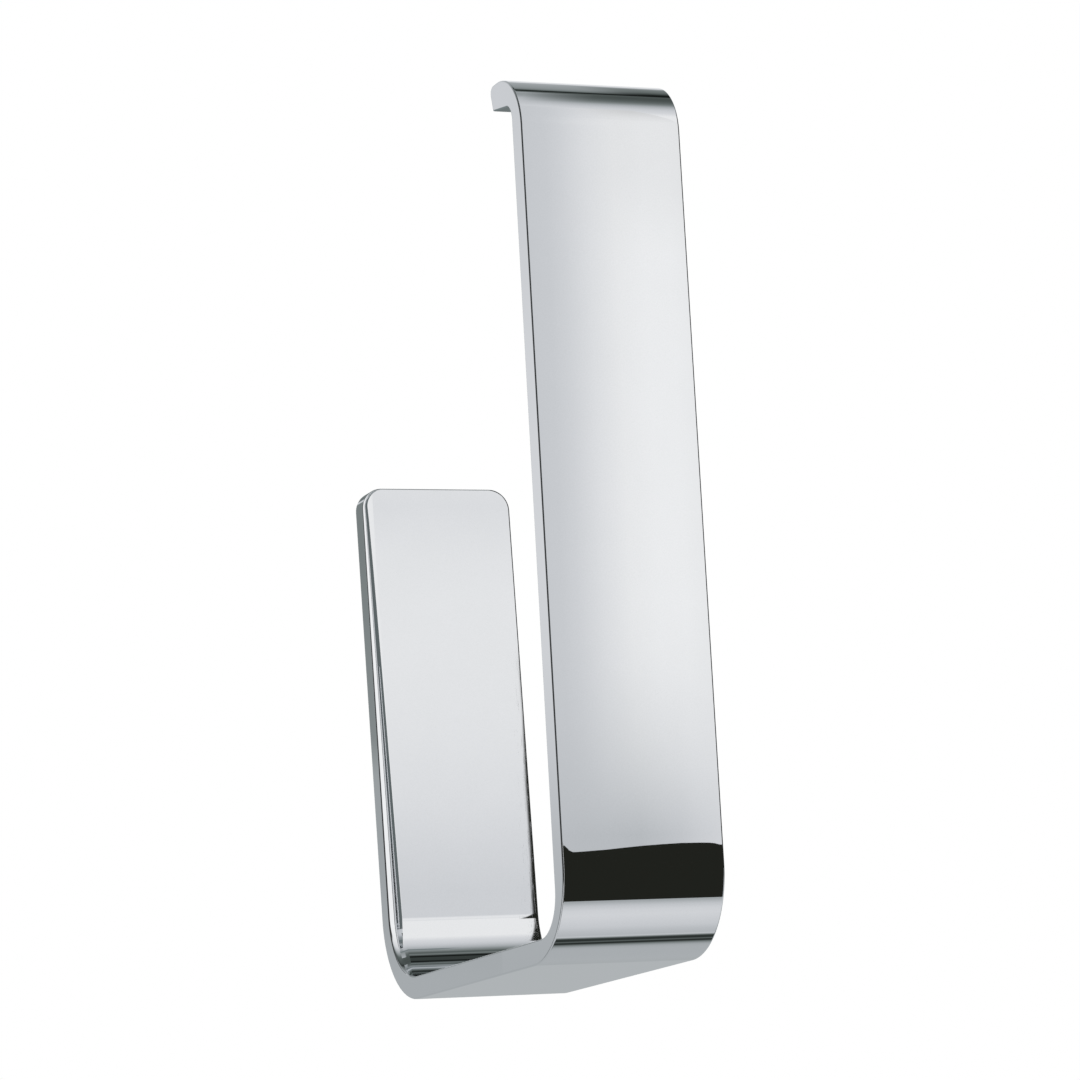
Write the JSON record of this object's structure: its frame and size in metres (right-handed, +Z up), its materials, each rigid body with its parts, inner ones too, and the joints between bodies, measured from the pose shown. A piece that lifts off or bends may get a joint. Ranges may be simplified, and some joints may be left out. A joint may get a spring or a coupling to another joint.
{
  "type": "spare toilet roll holder",
  "caption": "Wall-hung spare toilet roll holder: a flat chromed band bent to a J, with a tall front arm that takes the roll's core, on a hidden wall bracket.",
  "frame": {"origin": "middle of the wall bracket's back face, on the wall", "axes": "+X right as seen from the room, +Y into the wall, +Z up"},
  "size_m": [0.03, 0.1227, 0.1535],
  "materials": {
    "polished_chrome": "mirror polished",
    "zinc_plated_steel": "bright zinc plated, satin",
    "stainless_steel": "turned, satin",
    "grey_nylon": "moulded, matt"
  },
  "bodies": {
    "wall_fixing": {"wall_bracket": "zinc_plated_steel", "lower_wall_screw": "zinc_plated_steel", "upper_wall_screw": "zinc_plated_steel", "lower_wall_plug": "grey_nylon", "upper_wall_plug": "grey_nylon"},
    "holder": {"holder_band": "polished_chrome"},
    "set_screw": {"set_screw": "stainless_steel"}
  },
  "joints": [
    {"name": "holder_lift", "type": "slide", "parent": "wall_fixing", "child": "holder", "axis": [0, 0, 1], "range_m": [0, 0.012]},
    {"name": "set_screw_travel", "type": "slide", "parent": "holder", "child": "set_screw", "axis": [1, 0, 0], "range_m": [0, 0.003]}
  ]
}
